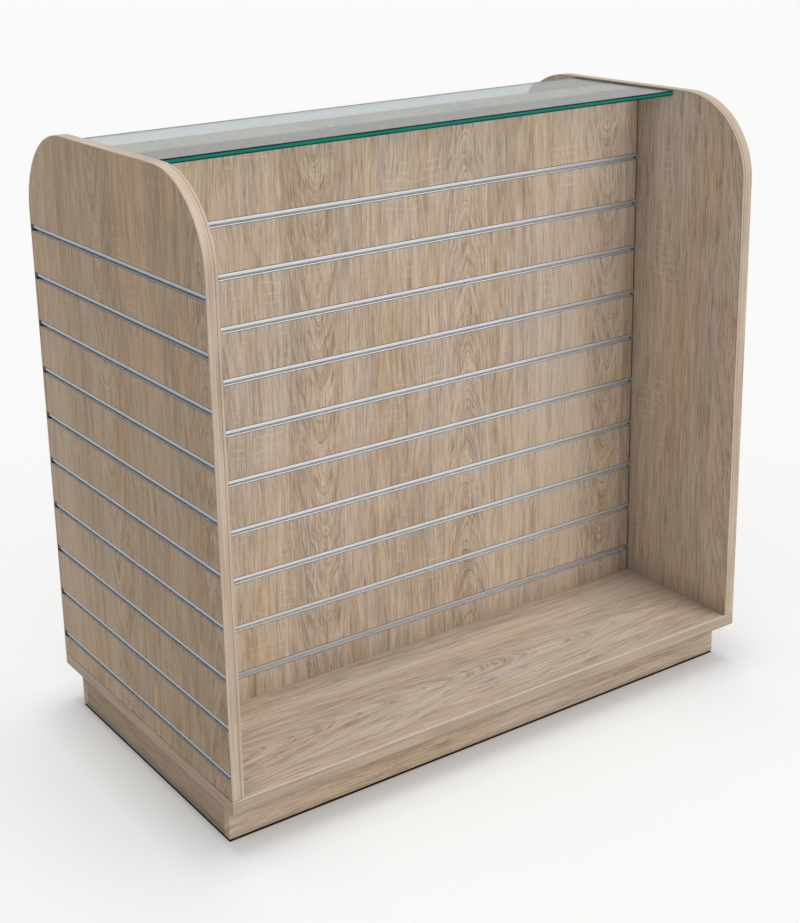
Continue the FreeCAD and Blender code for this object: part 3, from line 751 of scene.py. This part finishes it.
# Painted shade on the floor just under the plinth's edge, and a painted shadow that fades out round the
# plinth
below = near_plinth(CONTACT_LINE)
shaded = maths(floor_tree, "MULTIPLY", near_plinth(CONTACT_REACH), CONTACT_DEPTH)
shaded = maths(floor_tree, "MAXIMUM", shaded, below)
floor_cloud = noise(floor_tree, floor_place, 1.5)
floor_paler = tuple(value + FLOOR_CLOUD for value in FLOOR_COLOUR[:3]) + (1.0,)
floor_tint = mixed(floor_tree, floor_cloud, FLOOR_COLOUR, floor_paler)
floor_tint = mixed(floor_tree, below, floor_tint, FLOOR_PAINTED_SHADE)
rays = floor_tree.nodes.new("ShaderNodeLightPath").outputs
viewed = maths(floor_tree, "MAXIMUM", rays["Is Camera Ray"], rays["Is Glossy Ray"])
viewed = maths(floor_tree, "MAXIMUM", viewed, rays["Is Transmission Ray"])
glow = mixed(floor_tree, viewed, FLOOR_FILL, FLOOR_GLOW)
# The painted shadow takes the floor's glow away near the plinth
glow = mixed(floor_tree, shaded, glow, UNLIT)
for label, value in (("Base Color", floor_tint), ("Emission Color", glow), ("Emission Strength", 1.0),
                     ("Roughness", 0.9), ("Specular IOR Level", 0.0)):
    feed(floor_tree, floor_shader.inputs[label], value)
floor.data.materials.append(floor_material)

# Light: a white room, lighter in front and above, dimmer in mirrors, and plain where it is looked at
ROOM_FRONT = 0.88
ROOM_BACK = 0.30
ROOM_LOW = 0.60
ROOM_HIGH = 1.15
ROOM_RISE = 0.6
ROOM_MIRRORED = 0.50
world = bpy.data.worlds.new("room")
bpy.context.scene.world = world
world.use_nodes = True
world_tree = world.node_tree
room_way = add(world_tree, "ShaderNodeTexCoord").outputs["Generated"]
room_split = add(world_tree, "ShaderNodeSeparateXYZ", Vector=room_way)
room_back = span(world_tree, room_split.outputs[Y], -1.0, 1.0, ROOM_FRONT, ROOM_BACK)
room_up = span(world_tree, room_split.outputs[Z], 0.0, ROOM_RISE, ROOM_LOW, ROOM_HIGH)
room_level = maths(world_tree, "MULTIPLY", room_back, room_up)
room = world_tree.nodes["Background"]
feed(world_tree, room.inputs["Color"], WHITE)
feed(world_tree, room.inputs["Strength"], room_level)
mirrored = add(world_tree, "ShaderNodeBackground", Color=WHITE, Strength=ROOM_MIRRORED)
seen = add(world_tree, "ShaderNodeBackground", Color=BACKDROP, Strength=1.0)
rays = world_tree.nodes.new("ShaderNodeLightPath").outputs
looked_at = maths(world_tree, "MAXIMUM", rays["Is Camera Ray"], rays["Is Transmission Ray"])
shining = either(world_tree, rays["Is Glossy Ray"], room.outputs[0], mirrored.outputs[0])
whole = either(world_tree, looked_at, shining, seen.outputs[0])
world_tree.links.new(whole, world_tree.nodes["World Output"].inputs["Surface"])


def soft_sun(name, level, way, spread, floor_state):
    """Broad far light; it either leaves the floor out or lights nothing but the floor."""
    data = bpy.data.lights.new(name, "SUN")
    data.energy = level
    data.angle = spread
    lamp = bpy.data.objects.new(name, data)
    lamp.rotation_euler = way.to_track_quat("Z", "Y").to_euler()
    bpy.context.scene.collection.objects.link(lamp)
    lit = bpy.data.collections.new(name + "_floor")
    lit.objects.link(floor)
    lit.collection_objects[0].light_linking.link_state = floor_state
    lamp.light_linking.receiver_collection = lit


# Lamps: a broad key from the front and a weaker one from behind for the stand, one above for the floor
KEY_LEVEL = 1.72
KEY_FROM = Vector((0.30, -0.62, 0.72))
KEY_SPREAD = math.radians(45)
BACK_LEVEL = 1.10
BACK_FROM = Vector((0.10, 0.75, 0.66))
BACK_SPREAD = math.radians(30)
TOP_LEVEL = 1.00
TOP_FROM = Vector((0.05, 0.14, 1.0))
TOP_SPREAD = math.radians(28)
soft_sun("key", KEY_LEVEL, KEY_FROM, KEY_SPREAD, "EXCLUDE")
soft_sun("back", BACK_LEVEL, BACK_FROM, BACK_SPREAD, "EXCLUDE")
soft_sun("top", TOP_LEVEL, TOP_FROM, TOP_SPREAD, "INCLUDE")

# Camera: place, the way it looks and its right-hand way, then the lens and the shift of the picture
CAMERA_PLACE = Vector((-1.78957, -2.53255, 1.67461))
CAMERA_LOOK = Vector((0.526509, 0.803023, -0.279179))
CAMERA_RIGHT = Vector((0.831653, -0.554643, -0.026930))
CAMERA_LENS = 62.644
CAMERA_SENSOR = 36.0
CAMERA_SHIFT = (0.06, -0.14)
CAMERA_SIGHT = 200.0
camera_data = bpy.data.cameras.new("camera")
camera_data.lens = CAMERA_LENS
camera_data.sensor_width = CAMERA_SENSOR
camera_data.shift_x, camera_data.shift_y = CAMERA_SHIFT
camera_data.clip_end = CAMERA_SIGHT
camera = bpy.data.objects.new("camera", camera_data)
camera_up = CAMERA_RIGHT.cross(CAMERA_LOOK).normalized()
camera_turn = Matrix((CAMERA_RIGHT, camera_up, -CAMERA_LOOK)).transposed().to_4x4()
camera.matrix_world = Matrix.Translation(CAMERA_PLACE) @ camera_turn
bpy.context.scene.collection.objects.link(camera)
bpy.context.scene.camera = camera
bpy.context.scene.view_settings.view_transform = "Standard"
